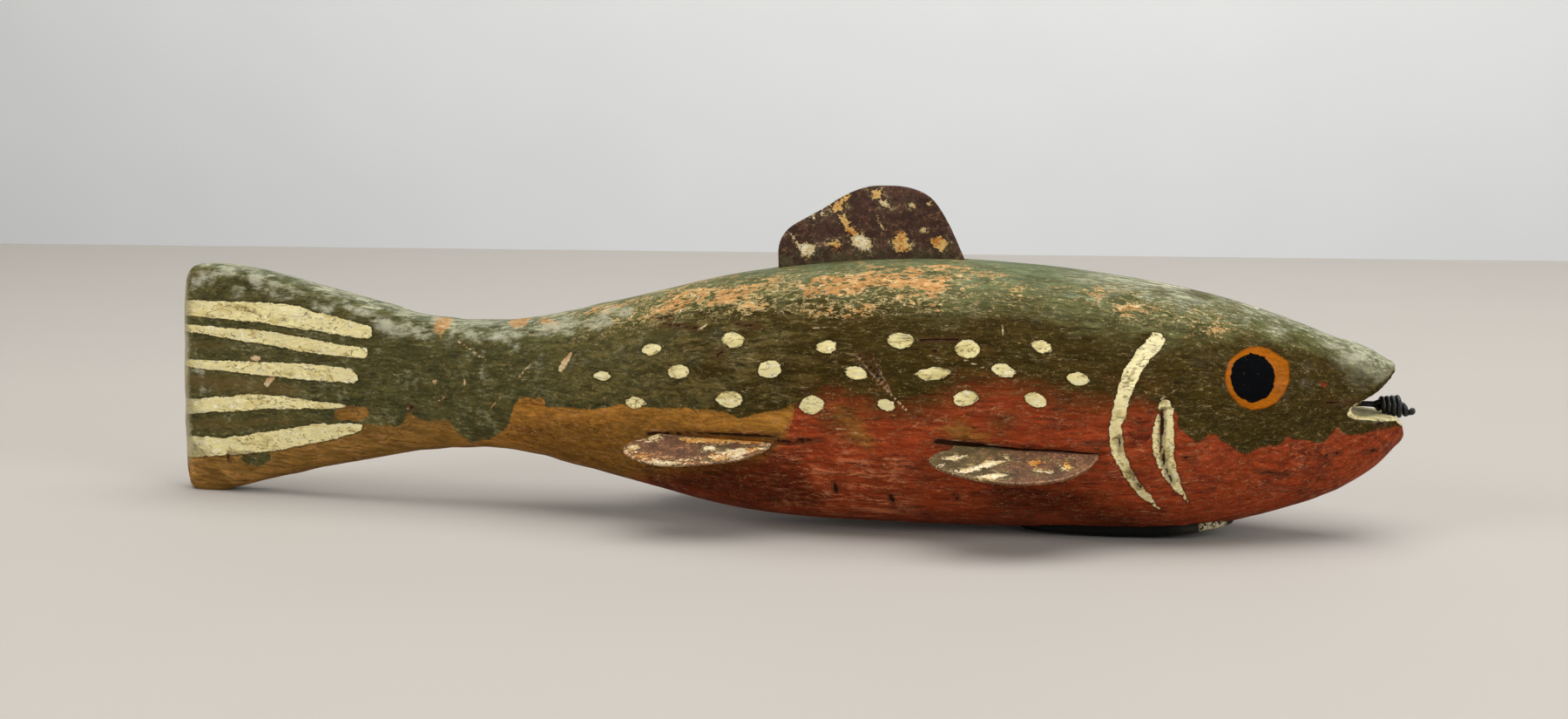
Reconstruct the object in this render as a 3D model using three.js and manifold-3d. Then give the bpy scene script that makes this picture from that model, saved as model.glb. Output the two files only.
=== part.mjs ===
// A carved and painted wooden fish decoy with sheet metal fins, a poured ballast weight in its
// belly and a stiff line wire in its mouth. Millimetres, +Z up, nose towards +X, the fish's
// right side towards -Y. The origin is on the flat underside of the weight, where the fish rests.

import * as THREE from 'three';
import { mergeVertices } from 'three/addons/utils/BufferGeometryUtils.js';
import Module from 'manifold-3d';

const wasm = await Module();
wasm.setup();

// Driving dimensions of the carved body
const bodyLength = 214; // tail edge to the tip of the lower jaw
const bodyDepth = 44.3; // belly line to the top of the back
const bodyBreadth = 38.4; // widest, behind the gills
const noseReach = 44.1; // from the middle of the weight to the tip of the lower jaw
const tailSweep = 13.5; // the tail end is carved off to the left
const tailEdgeRadius = 3; // rounding of the tail's rear edge
const tailRakeDepth = 0.9; // the foot of the rear edge stands this far behind its head
const snoutRadius = 5.5; // rounding of the snout, seen from above
const mouthDepth = 9.9; // notch from the tip of the lower jaw to its corner
const gillWidth = 2.3; // the long gill cut
const rearGillWidth = 1.8; // the double cut ahead of it
const frontGillWidth = 1.65;
const gillCutDepth = 0.75;

// Driving dimensions of the fitted pieces
const clearance = 0.3; // gap between a piece and the cut that holds it
const sheetThickness = 0.6; // fin metal
const finTabDepth = 5.5; // part of a fin that sits in its saw cut
const sideFinSinkDepth = 0.2; // a side fin's root lies this far inside the flank
const dorsalRootLength = 31.3;
const dorsalReach = 13.4;
const pectoralRootLength = 22.8;
const pectoralReach = 9.9;
const pelvicRootLength = 20.7;
const pelvicReach = 8.9;
const pectoralOverrunLength = 1.6; // the saw cuts of the side fins run on past the fin's front end
const pelvicOverrunLength = 3.2;
const weightLength = 36;
const weightWidth = 14.5;
const weightHeight = 20;
const weightProudHeight = 0.8; // the belly line stands this far above what the fish rests on
const weightBulgeHeight = 1.4; // the poured metal stands out of the belly at its middle
const wireDiameter = 0.68;
const wireHoleDepth = 6.5; // from the mouth's corner into the head
const wireRiseHeight = 0.8; // the wire leaves the head this far above the mouth's corner
const wrapSetbackLength = 3.7; // from the tip of the lower jaw back to the first turn
const wrapTurns = 4.2;
const wrapPitch = 0.8;

// Body profile from tail to nose, as shares: place along the body, height of the back and of
// the belly as shares of the depth, and breadth as a share of the greatest breadth.
const stations = [
  [0.0, 0.904, -0.034, 0.235],
  [0.02, 0.912, -0.034, 0.24],
  [0.077, 0.888, 0.036, 0.26],
  [0.156, 0.805, 0.132, 0.29],
  [0.2365, 0.734, 0.206, 0.345],
  [0.297, 0.733, 0.22, 0.43],
  [0.387, 0.818, 0.138, 0.605],
  [0.498, 0.942, 0.028, 0.835],
  [0.6285, 1.0, 0.0, 1.0],
  [0.749, 0.966, 0.003, 1.0],
  [0.8495, 0.886, 0.015, 0.84],
  [0.91, 0.8, 0.086, 0.615],
  [0.955, 0.715, 0.164, 0.41],
  [0.98, 0.66, 0.249, 0.31],
  [0.993, 0.606, 0.313, 0.26],
  [1.0, 0.542, 0.357, 0.23],
];
const profile = new THREE.CubicInterpolant(
  stations.map((station) => station[0]),
  stations.flatMap((station) => station.slice(1)),
  3,
  new Float32Array(3),
);

// Places on the body, as shares of its length from the tail and of its depth from the belly
const bendShare = 0.526; // ahead of this the body is straight
const bendPower = 1.6;
const dorsalShare = 0.521;
const pectoralShare = 0.6655;
const pectoralRiseShare = 0.354;
const pelvicShare = 0.4345;
const pelvicRiseShare = 0.346;
const mouthRiseShare = 0.463;
const gillArcShare = 0.8715; // centre and radius of the long gill cut's arc
const gillArcRiseShare = 0.449;
const gillRadiusShare = 0.422;

// Section roundness, as superellipse powers: the tail is a rounded board, the body nearly oval
const tailPower = 3.6;
const bodyPower = 2.4;
const powerBlend = [0.12, 0.4];
const rakeBlend = [0, 0.2];
const tailSideRounding = 0.8; // the rear edge rounds off less towards the sides than up and down

// Mesh fineness
const sectionSides = 40;
const bodySections = 48;
const capSections = 5;
const gillSections = 14;
const weightSections = 20;
const outlineSegments = 3;
const coilSections = 12; // in each turn

// Cutting solids reach this far past what they cut
const cutLiftHeight = 0.6;
const blockOverrunLength = 10;

const degrees = THREE.MathUtils.degToRad;
const alongBody = (share) => noseReach - bodyLength * (1 - share);
const upBody = (share) => weightProudHeight + bodyDepth * share;
const tailEnd = alongBody(0);

// Sideways offset of the body's middle line
function sweepAt(x) {
  const bent = (alongBody(bendShare) - x) / (bodyLength * bendShare);
  return tailSweep * Math.max(bent, 0) ** bendPower;
}

// The body's section at x: back, belly, half breadth, sideways offset, roundness and lean
function sectionAt(x) {
  const share = 1 - (noseReach - x) / bodyLength;
  const [back, belly, breadth] = profile.evaluate(share);
  const tailGap = Math.max(tailEdgeRadius - (x - tailEnd), 0);
  const tailInset = tailEdgeRadius - Math.sqrt(Math.max(tailEdgeRadius ** 2 - tailGap ** 2, 0));
  const snoutShare = THREE.MathUtils.clamp((x - noseReach + snoutRadius) / snoutRadius, 0, 0.99);
  const halfBreadth = breadth * bodyBreadth / 2 - tailSideRounding * tailInset;
  const blend = THREE.MathUtils.smoothstep(share, ...powerBlend);
  return {
    back: upBody(back) - tailInset,
    belly: upBody(belly) + tailInset,
    half: halfBreadth * Math.sqrt(1 - snoutShare ** 2),
    offset: sweepAt(x),
    power: THREE.MathUtils.lerp(tailPower, bodyPower, blend),
    rake: tailRakeDepth * (1 - THREE.MathUtils.smoothstep(share, ...rakeBlend)),
  };
}

// The closed outline of the section at x, its lower half dropped by bulge
function sectionRing(x, bulge = 0) {
  const { back, belly, half, offset, power, rake } = sectionAt(x);
  const middle = (back + belly) / 2;
  const rounded = (value) => Math.sign(value) * Math.abs(value) ** (2 / power);
  return Array.from({ length: sectionSides }, (unused, side) => {
    const angle = 2 * Math.PI * side / sectionSides;
    const rise = rounded(Math.sin(angle));
    const reach = rise > 0 ? back - middle : middle - belly + bulge;
    const sideways = offset + half * rounded(Math.cos(angle));
    return new THREE.Vector3(x - rake * (1 - rise) / 2, sideways, middle + reach * rise);
  });
}

// How far the flank stands from the body's middle line at x and height z
function flankAt(x, z) {
  const { back, belly, half, power } = sectionAt(x);
  const rise = Math.abs(z - (back + belly) / 2) / ((back - belly) / 2);
  return half * Math.max(1 - rise ** power, 0) ** (1 / power);
}

function middleOf(ring) {
  const sum = ring.reduce((total, point) => total.add(point), new THREE.Vector3());
  return sum.divideScalar(ring.length);
}

// A closed skin over a row of rings with as many points each
function loft(rings) {
  const sides = rings[0].length;
  const points = rings.flat();
  const faces = [];
  for (let row = 0; row < rings.length - 1; row += 1) {
    for (let side = 0; side < sides; side += 1) {
      const next = (side + 1) % sides;
      const [a, b] = [row * sides + side, row * sides + next];
      faces.push(a, b, b + sides, a, b + sides, a + sides);
    }
  }
  const [first, last] = [points.length, points.length + 1];
  points.push(middleOf(rings[0]), middleOf(rings.at(-1)));
  const lastRow = (rings.length - 1) * sides;
  for (let side = 0; side < sides; side += 1) {
    const next = (side + 1) % sides;
    faces.push(first, next, side, last, lastRow + side, lastRow + next);
  }
  const geometry = new THREE.BufferGeometry().setFromPoints(points);
  geometry.setIndex(faces);
  return geometry;
}

function toSolid(geometry) {
  const bare = geometry.clone();
  bare.deleteAttribute('normal');
  bare.deleteAttribute('uv');
  const merged = mergeVertices(bare, 1e-5);
  return new wasm.Manifold(new wasm.Mesh({
    numProp: 3,
    vertProperties: new Float32Array(merged.getAttribute('position').array),
    triVerts: new Uint32Array(merged.getIndex().array),
  }));
}

function toGeometry(solid) {
  const { vertProperties, triVerts } = solid.getMesh();
  const geometry = new THREE.BufferGeometry();
  const positions = new THREE.BufferAttribute(new Float32Array(vertProperties), 3);
  geometry.setAttribute('position', positions);
  geometry.setIndex(Array.from(triVerts));
  geometry.computeVertexNormals();
  return geometry;
}

function extrude(shape, depth, curveSegments) {
  return new THREE.ExtrudeGeometry(shape, { depth, bevelEnabled: false, curveSegments });
}

// The places of the body's sections: close together where its two ends round off
function sectionPlaces() {
  const places = [];
  for (let step = 0; step < capSections; step += 1) {
    places.push(tailEnd + tailEdgeRadius * (1 - Math.cos(Math.PI / 2 * step / capSections)));
  }
  const start = tailEnd + tailEdgeRadius;
  const stop = noseReach - snoutRadius;
  for (let step = 0; step < bodySections; step += 1) {
    places.push(THREE.MathUtils.lerp(start, stop, step / bodySections));
  }
  for (let step = 0; step <= capSections; step += 1) {
    places.push(stop + snoutRadius * Math.sin(Math.PI / 2 * step / capSections));
  }
  return places;
}

// Lip lines of the open mouth, in shares of its depth ahead of and above its corner
const upperLip = [[0.06, 0.09], [0.145, 0.111], [0.247, 0.195], [0.507, 0.344], [0.721, 0.53],
  [0.823, 0.697]];
const lowerLip = [[0.954, -0.26], [0.879, -0.167], [0.796, -0.13], [0.656, -0.111],
  [0.257, -0.093], [0.108, -0.065]];
const beyondMouth = [[0.9, 1.1], [1.5, 1.1], [1.5, -0.47], [1.02, -0.47]];

// The open mouth, cut straight through from side to side
function mouthCut() {
  const corner = new THREE.Vector2(noseReach - mouthDepth, upBody(mouthRiseShare));
  const from = (place) => new THREE.Vector2(...place).multiplyScalar(mouthDepth).add(corner);
  const outline = new THREE.Shape();
  outline.moveTo(corner.x, corner.y);
  outline.splineThru(upperLip.map(from));
  for (const place of beyondMouth.map(from)) {
    outline.lineTo(place.x, place.y);
  }
  outline.splineThru(lowerLip.map(from));
  outline.closePath();
  const cut = extrude(outline, bodyBreadth, outlineSegments);
  return cut.translate(0, 0, -bodyBreadth / 2).rotateX(Math.PI / 2);
}

// A gill cut starts at most of its width and runs out to a narrow end
const gillTaper = (share) => Math.min(1, 0.72 + 4 * share) * Math.min(1, 0.22 + 2.2 * (1 - share));

// A tapering knife cut that follows the flank along a path of (x, z) places
function knifeCut(path, side, width) {
  const onFlank = (x, z) => new THREE.Vector3(x, sweepAt(x) + side * flankAt(x, z), z);
  const probe = 0.1;
  const rings = [];
  for (let step = 0; step <= gillSections; step += 1) {
    const share = step / gillSections;
    const place = path.getPoint(share);
    const tangent = path.getTangent(share);
    const centre = onFlank(place.x, place.y);
    const ahead = onFlank(place.x + probe, place.y).sub(centre);
    const above = onFlank(place.x, place.y + probe).sub(centre);
    const outward = new THREE.Vector3().crossVectors(ahead, above).multiplyScalar(-side).normalize();
    const run = ahead.multiplyScalar(tangent.x).addScaledVector(above, tangent.y).normalize();
    const across = new THREE.Vector3().crossVectors(outward, run);
    const deep = gillCutDepth * gillTaper(share);
    const wide = width / 2 * gillTaper(share) * (1 + cutLiftHeight / deep);
    const over = centre.clone().addScaledVector(outward, cutLiftHeight);
    rings.push([
      centre.clone().addScaledVector(outward, -deep),
      over.clone().addScaledVector(across, wide),
      over.clone().addScaledVector(across, -wide),
    ]);
  }
  return loft(rings);
}

// The double gill cut, in shares of the long cut's radius ahead of and above its centre
const rearGill = [[-0.6, 0.22], [-0.674, -0.02], [-0.652, -0.26], [-0.51, -0.51], [-0.35, -0.72]];
const frontGill = [[-0.56, 0.19], [-0.535, -0.04], [-0.52, -0.25], [-0.47, -0.46], [-0.35, -0.72]];
const longGillAngles = [degrees(132), degrees(231)];

// The gill marks of one side: a long curved cut, and a double cut ahead of it
function gillCuts(side) {
  const centre = new THREE.Vector2(alongBody(gillArcShare), upBody(gillArcRiseShare));
  const radius = gillRadiusShare * bodyDepth;
  const from = (place) => new THREE.Vector2(...place).multiplyScalar(radius).add(centre);
  const longGill = new THREE.EllipseCurve(centre.x, centre.y, radius, radius, ...longGillAngles);
  return [
    knifeCut(longGill, side, gillWidth),
    knifeCut(new THREE.SplineCurve(rearGill.map(from)), side, rearGillWidth),
    knifeCut(new THREE.SplineCurve(frontGill.map(from)), side, frontGillWidth),
  ];
}

// Fin outlines from the rear end of the root to its front end, in shares of root and reach
const dorsalOutline = [
  [0.005, 0.23], [0.03, 0.38], [0.08, 0.5], [0.173, 0.61], [0.27, 0.72], [0.385, 0.865],
  [0.504, 0.95], [0.62, 0.95], [0.713, 0.92], [0.8, 0.84], [0.865, 0.7], [0.932, 0.41], [1, 0],
];
const pectoralOutline = [
  [-0.022, 0.12], [-0.105, 0.25], [-0.153, 0.5], [-0.092, 0.69], [0.06, 0.885], [0.24, 0.975],
  [0.417, 1], [0.645, 0.885], [0.82, 0.655], [0.934, 0.36], [1, 0],
];
const pelvicOutline = [
  [-0.04, 0.1], [-0.174, 0.325], [-0.203, 0.575], [-0.116, 0.8], [0.058, 0.965], [0.314, 1],
  [0.585, 0.875], [0.807, 0.675], [0.942, 0.34], [1, 0],
];

// A flat sheet fin in its own plane: root along x, reaching out along y, its tab below
function finSheet(root, reach, outline) {
  const shape = new THREE.Shape();
  shape.moveTo(0, -finTabDepth);
  shape.lineTo(0, 0);
  shape.splineThru(outline.map(([along, out]) => new THREE.Vector2(along * root, out * reach)));
  shape.lineTo(root, -finTabDepth);
  shape.closePath();
  return extrude(shape, sheetThickness, outlineSegments).translate(0, 0, -sheetThickness / 2);
}

// The saw cut that takes a fin's tab, in the fin's own plane
function sawCut(root, reach, overrun) {
  const length = root + overrun + 2 * clearance;
  const depth = finTabDepth + clearance + reach;
  const cut = new THREE.BoxGeometry(length, depth, sheetThickness + 2 * clearance);
  return cut.translate(length / 2 - clearance, depth / 2 - finTabDepth - clearance, 0);
}

// Where a fin's plane lies: root direction, outward direction and the root's rear end
function finPlace(rootDirection, outDirection, rearEnd) {
  const along = rootDirection.clone().normalize();
  const normal = new THREE.Vector3().crossVectors(along, outDirection).normalize();
  const out = new THREE.Vector3().crossVectors(normal, along);
  return new THREE.Matrix4().makeBasis(along, out, normal).setPosition(rearEnd);
}

// A fin on the flank: yaw opens it outward at the front, dip lowers its front end, and droop
// lowers its outer edge
function sideFinPlace(side, start, height, { yaw, dip, droop }) {
  const x = alongBody(start);
  const z = upBody(height);
  const rearEnd = new THREE.Vector3(x, sweepAt(x) + side * (flankAt(x, z) - sideFinSinkDepth), z);
  const rootDirection = new THREE.Vector3(Math.cos(yaw), side * Math.sin(yaw), -Math.sin(dip));
  const outDirection = new THREE.Vector3(0, side * Math.cos(droop), -Math.sin(droop));
  return finPlace(rootDirection, outDirection, rearEnd);
}

function dorsalPlace() {
  const x = alongBody(dorsalShare);
  const rearEnd = new THREE.Vector3(x, 0, sectionAt(x).back);
  const drop = sectionAt(x + dorsalRootLength).back - rearEnd.z;
  return finPlace(new THREE.Vector3(dorsalRootLength, 0, drop), new THREE.Vector3(0, 0, 1), rearEnd);
}

const pectoralLie = { yaw: 0, dip: degrees(3.2), droop: degrees(20) };
const pelvicLie = { yaw: degrees(9), dip: 0, droop: degrees(22) };
const pectoralPlace = (side) => sideFinPlace(side, pectoralShare, pectoralRiseShare, pectoralLie);
const pelvicPlace = (side) => sideFinPlace(side, pelvicShare, pelvicRiseShare, pelvicLie);

// The weight's plan is a slot shape with round ends, grown by gap for the pocket that holds it
function weightBlock(gap, height) {
  const radius = weightWidth / 2 + gap;
  const straight = (weightLength - weightWidth) / 2;
  const plan = new THREE.Shape();
  plan.absarc(straight, 0, radius, -Math.PI / 2, Math.PI / 2);
  plan.absarc(-straight, 0, radius, Math.PI / 2, 3 * Math.PI / 2);
  plan.closePath();
  const block = extrude(plan, height + blockOverrunLength, 4 * outlineSegments);
  return block.translate(0, 0, -blockOverrunLength);
}

function underFloor() {
  const slab = new THREE.BoxGeometry(3 * bodyLength, 3 * bodyBreadth, blockOverrunLength);
  return slab.translate(0, 0, -blockOverrunLength / 2);
}

// The poured weight follows the belly, stands a little proud and is worn flat underneath
function weightSolid() {
  const bulgeAt = (x) => weightBulgeHeight * Math.sqrt(Math.max(1 - (2 * x / weightLength) ** 2, 0));
  const reach = weightLength / 2 + blockOverrunLength / 2;
  const rings = [];
  for (let step = 0; step <= weightSections; step += 1) {
    const x = THREE.MathUtils.lerp(-reach, reach, step / weightSections);
    rings.push(sectionRing(x, bulgeAt(x)));
  }
  const poured = toSolid(loft(rings)).intersect(toSolid(weightBlock(0, weightHeight)));
  return poured.subtract(toSolid(underFloor()));
}

function tubeAlong(points, steps) {
  const section = new THREE.Shape().absarc(0, 0, wireDiameter / 2, 0, 2 * Math.PI);
  const extrudePath = new THREE.CatmullRomCurve3(points);
  const settings = { steps, extrudePath, bevelEnabled: false, curveSegments: outlineSegments };
  return new THREE.ExtrudeGeometry(section, settings);
}

const wireHeight = upBody(mouthRiseShare) + wireRiseHeight;
const mouthCorner = noseReach - mouthDepth;
const wrapStart = noseReach - wrapSetbackLength;
const strandGap = 0.9 * wireDiameter; // the two strands are pressed together
const wrapRadius = 1.36 * wireDiameter; // of the coil's middle line at its first turn
const wrapGrowth = 0.9 * wireDiameter; // the coil opens by this much to its last turn
const wrapSag = 0.44 * wireDiameter;

// The wire's twisted end, in wire diameters ahead of the jaw, to the left and up
const twistedEnd = [
  [-1.8, 0, 0.44], [-0.15, -0.37, 0], [0.51, -0.44, -1.1], [0.8, 0.15, -2.57],
  [1.25, 0.51, -1.76], [1.76, 0, -2], [2.5, -0.3, -1.2],
];

// The line wire: two strands out of a hole at the mouth's corner, one wrapped round the other
// in an open coil, and a short twisted end
function wireSolid() {
  const inside = mouthCorner - wireHoleDepth + clearance;
  const strandAt = (x, up) => new THREE.Vector3(x, 0, wireHeight + up);
  const jaw = strandAt(noseReach, 0);
  const endAt = (place) => new THREE.Vector3(...place).multiplyScalar(wireDiameter).add(jaw);
  const straight = [
    strandAt(inside, strandGap / 2),
    strandAt(wrapStart, strandGap / 2),
    ...twistedEnd.map(endAt),
  ];
  const coil = [
    strandAt(inside, -strandGap / 2),
    strandAt(wrapStart - 2 * wrapPitch, -strandGap / 2),
    strandAt(wrapStart - 0.6 * wrapPitch, -0.7 * strandGap),
  ];
  for (let step = 0; step <= wrapTurns * coilSections; step += 1) {
    const turn = step / coilSections;
    const angle = -Math.PI / 2 - 2 * Math.PI * turn;
    const radius = wrapRadius + wrapGrowth * turn / wrapTurns;
    const up = radius * Math.sin(angle) - wrapSag * turn / wrapTurns;
    const across = new THREE.Vector3(wrapPitch * turn, -radius * Math.cos(angle), 0);
    coil.push(strandAt(wrapStart, up).add(across));
  }
  const straightTube = tubeAlong(straight, 3 * coilSections);
  return toSolid(straightTube).add(toSolid(tubeAlong(coil, 6 * coilSections)));
}

function wireHole() {
  const radius = wireDiameter + clearance;
  const length = wireHoleDepth + mouthDepth / 4;
  const hole = new THREE.CylinderGeometry(radius, radius, length, coilSections);
  const back = mouthCorner - wireHoleDepth;
  return hole.rotateZ(Math.PI / 2).translate(back + length / 2, 0, wireHeight);
}

const sides = { right: -1, left: 1 };

function bodySolid() {
  const pocket = weightBlock(clearance, weightHeight + clearance);
  const cuts = [mouthCut(), wireHole(), underFloor(), pocket];
  cuts.push(sawCut(dorsalRootLength, dorsalReach, 0).applyMatrix4(dorsalPlace()));
  for (const side of Object.values(sides)) {
    const pectoralCut = sawCut(pectoralRootLength, pectoralReach, pectoralOverrunLength);
    const pelvicCut = sawCut(pelvicRootLength, pelvicReach, pelvicOverrunLength);
    cuts.push(...gillCuts(side));
    cuts.push(pectoralCut.applyMatrix4(pectoralPlace(side)));
    cuts.push(pelvicCut.applyMatrix4(pelvicPlace(side)));
  }
  const carved = toSolid(loft(sectionPlaces().map((x) => sectionRing(x))));
  return cuts.reduce((body, cut) => body.subtract(toSolid(cut)), carved);
}

const finishes = {
  paintedWood: { color: 0x5b5a36, roughness: 0.55, metalness: 0 },
  paintedSheet: { color: 0x4a3028, roughness: 0.6, metalness: 0.4 },
  pouredLead: { color: 0x4b4b4a, roughness: 0.6, metalness: 0.6 },
  blackWire: { color: 0x16171a, roughness: 0.45, metalness: 0.6 },
};

function piece(name, geometry, finish) {
  const mesh = new THREE.Mesh(geometry, new THREE.MeshStandardMaterial(finish));
  mesh.name = name;
  return mesh;
}

function fin(name, sheet, place) {
  const mesh = piece(name, sheet, finishes.paintedSheet);
  mesh.applyMatrix4(place);
  return mesh;
}

const decoy = new THREE.Group();
decoy.add(piece('body', toGeometry(bodySolid()), finishes.paintedWood));
decoy.add(piece('belly_weight', toGeometry(weightSolid()), finishes.pouredLead));
decoy.add(piece('mouth_wire', toGeometry(wireSolid()), finishes.blackWire));
decoy.add(fin('dorsal_fin', finSheet(dorsalRootLength, dorsalReach, dorsalOutline), dorsalPlace()));
for (const [name, side] of Object.entries(sides)) {
  const pectoral = finSheet(pectoralRootLength, pectoralReach, pectoralOutline);
  const pelvic = finSheet(pelvicRootLength, pelvicReach, pelvicOutline);
  decoy.add(fin(`pectoral_fin_${name}`, pectoral, pectoralPlace(side)));
  decoy.add(fin(`pelvic_fin_${name}`, pelvic, pelvicPlace(side)));
}

export default decoy;
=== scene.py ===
"""Carved fish decoy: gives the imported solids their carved, painted, rusted and worn surfaces."""

import math

import bmesh
import bpy
import numpy as np
from bpy.props import FloatProperty, FloatVectorProperty, PointerProperty
from mathutils import Matrix, Vector, kdtree, noise
from mathutils.bvhtree import BVHTree


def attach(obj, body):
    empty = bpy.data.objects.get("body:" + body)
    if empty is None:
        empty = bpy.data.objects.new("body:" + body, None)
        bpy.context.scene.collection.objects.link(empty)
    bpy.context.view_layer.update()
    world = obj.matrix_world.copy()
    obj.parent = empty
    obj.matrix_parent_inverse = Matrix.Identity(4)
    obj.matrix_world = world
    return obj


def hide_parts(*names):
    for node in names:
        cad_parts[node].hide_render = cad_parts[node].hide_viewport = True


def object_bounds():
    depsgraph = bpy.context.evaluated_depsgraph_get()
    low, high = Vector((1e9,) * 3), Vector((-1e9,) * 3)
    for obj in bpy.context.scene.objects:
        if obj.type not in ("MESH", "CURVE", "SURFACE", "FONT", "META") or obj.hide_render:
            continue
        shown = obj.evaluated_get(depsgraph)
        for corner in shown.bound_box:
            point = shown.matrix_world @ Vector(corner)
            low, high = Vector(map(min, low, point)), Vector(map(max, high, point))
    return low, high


bl_info = {
    "name": "Carved Fish Decoy",
    "version": (1, 0, 0),
    "blender": (4, 5, 0),
    "location": "3D View > Sidebar > Decoy",
    "description": "Carved, painted and worn surfaces for a wooden fish decoy",
    "category": "Object",
}

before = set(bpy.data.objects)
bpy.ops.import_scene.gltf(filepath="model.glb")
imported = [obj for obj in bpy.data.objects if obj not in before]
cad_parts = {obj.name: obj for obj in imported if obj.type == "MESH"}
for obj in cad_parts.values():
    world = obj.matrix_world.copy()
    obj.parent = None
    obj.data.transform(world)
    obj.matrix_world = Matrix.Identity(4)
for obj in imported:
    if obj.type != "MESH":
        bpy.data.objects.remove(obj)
SOLID_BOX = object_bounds()
MM = 0.001


# The tables below are in tenths of a millimetre, x and z as seen from the fish's right side.
# The left side has the same marks, set a little differently, less the chips, scratches and cracks.

def path(*tenths):
    """A line or an outline: its first point, and then the steps from point to point."""
    points = np.cumsum(np.reshape(tenths, (-1, 2)), axis=0) / 10
    return tuple(map(tuple, points))


def paths(*tables):
    return tuple(path(*table) for table in tables)


def rows(count, *tenths):
    """Rows of count numbers each."""
    return tuple(zip(*[iter(number / 10 for number in tenths)] * count))


def strokes(*tables):
    """Brush strokes, as points of x, z and half width."""
    return tuple(rows(3, *table) for table in tables)


# Cream dabs along the flank: centre, half length, half height, tilt in tenths of a degree
SPOTS = rows(
    5, -779, 303, 19, 10, 80, -638, 325, 19, 12.5, -40, -479, 320, 18, 10.5, 40,
    -361, 332, 22, 12.5, 0, -253, 322, 21, 15, -80, -138, 327, 17.5, 10, -100,
    -867, 255, 16, 8.5, 30, -728, 270, 21, 12, 60, -574, 281, 21, 14.5, 100,
    -431, 280, 20, 11, -120, -309, 282, 26, 10.5, 40, -196, 289, 20, 11, -140,
    -81, 278, 18, 11, -80, -807, 214, 19, 10.5, 60, -640, 229, 24, 14, 40, -503, 226, 21, 16, 80,
    -381, 230, 17, 10, -140, -257, 244, 21, 13, 60, -145, 244, 18, 11, -160
)
# Cream stripes fanned over the tail
STRIPES = paths(
    (-1760, 351, 231, 0, 71, -4, 35, -11, 69, -14, 45, -10, 3, -12, -6, -7, -145, 15, -71, 8,
     -142, 7, -90, 2),
    (-1760, 311, 104, -4, 128, -4, 70, -8, 70, -9, 71, -7, 3, -11, -5, -7, -69, 2, -70, 7, -71, 7,
     -127, 15, -104, 6),
    (-1760, 244, 230, 2, 106, 1, 72, -5, 16, -8, 3, -9, -13, -9, -114, 2, -71, 3, -147, 8, -82, 3),
    (-1760, 169, 80, 3, 60, 6, 70, 9, 71, -1, 53, -5, 84, -4, -2, -5, -118, -8, -71, -5, -148, -16,
     -79, -1),
    (-1760, 101, 151, 3, 74, 14, 116, 22, 91, 4, -4, -13, -63, -20, -71, -17, -72, -15, -145, -17,
     -77, -2),
)
# Painted gills
GILLS = paths(
    (33, 349, -23, -27, -20, -30, -10, -30, -7, -39, -4, -23, 1, -29, 7, -20, 12, -19, 16, -27,
     14, -17, 12, -10, 26, -21, -19, 30, -22, 27, -12, 21, -9, 23, -6, 34, -1, 18, 5, 6, 5, 26,
     9, 23, 10, 23, 14, 20, 17, 17, 7, 13, -8, 10),
    (45, 232, -4, -16, -5, -14, -1, -13, 1, -17, 7, -26, 8, -18, 18, -26, 17, -14, -25, 41, -7, 13,
     -5, 23, -1, 35, 1, 26),
    (54, 229, 6, 6, 9, -2, 1, -44, 1, -36, 5, -25, 11, -27, 15, -35, -18, 24, -15, 12, -12, 27,
     -2, 17, -1.5, 19, -1.5, 31),
    (44, 229, 1, 15, 7, 5, 10, -4, 4, -11, -11, -6),
)
# Darker streaks down the gill cuts, and stains on the stripes
GILL_AND_STRIPE_STREAKS = strokes(
    (36, 340, 1, 20, 316, 2, 1, 283, 2.5, -10, 254, 2, -17, 224, 2, -19, 216, 1),
    (-1636, 344, 1, -1590, 346, 5, -1540, 334, 3),
    (-1460, 332, 1, -1434, 330, 4, -1410, 318, 2),
    (-21, 205, 2, -20, 170, 2.5, -12, 148, 2, 0, 126, 3, 12, 110, 2),
    (52, 244, 7, 53, 234, 6, 47, 218, 3, 47, 185, 1),
    (60, 180, 1, 63, 150, 2.5, 70, 126, 2),
)
EYE_RING = path(
    147, 284, 5, 20, 14, 12, 16, 8, 19, 2, 18, -5, 13, -9, 16, -10, 3, -15, -1, -16, -6, -17,
    -14, -17, -19, -9, -21, -1, -19, 8, -16, 18, -7, 16
)
PUPIL = path(
    156, 281, 3, 16, 8, 11, 12, 4, 9, 5, 9, -4, 13, -4, 10, -10, 5, -11, 2, -12, -3, -15, -7, -12,
    -12, -6, -14, -5, -8, 4, -13, 6, -8, 11, -4, 11
)
# Lower edge of the olive paint from tail to nose, and the line behind which the lower paint
# is ochre and ahead of which it is red
OLIVE_EDGE = path(
    -1760, 58, 222, 21, 72, 15, 71, 17, 64, 18, 7, 13, 69, 2, 19, 26, 18, -11, 59, -1, 16, -22,
    19, -17, 35, 10, 37, 20, 12, 29, 18, 30, 46, 3, 7, -16, 84, 2, 51, 11, 52, -1, 106, 3, 28, -4,
    24, -10, 31, 14, 55, 10, 32, -2, 29, 16, 35, -7, 36, -8, 35, -5, 35, 0, 34, 10, 34, 15, 34, 16,
    34, 7, 34, -6, 34, -10, 35, -9, 34, -5, 33, -2, 34, 1, 34, 2, 30, -5, 5, -20, 15, -16, 15, -14,
    14, 3, 7, 11, 12, -3, 15, -13, 15, -11, 10, -7, 15, 1, 15, 10, 30, 0, 12, 14, 12, -5, 20, -4,
    19, -3, 16, 7, 13, 15, 9, -6, 15, -6, 22, 1, 29, 4, 57, 2
)
RED_EDGE = path(
    -532, 600, 0, -384, -12, -42, -51, -48, -77, -22, -80, -17, -71, -16, -37, -31, -40, -240
)
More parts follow.
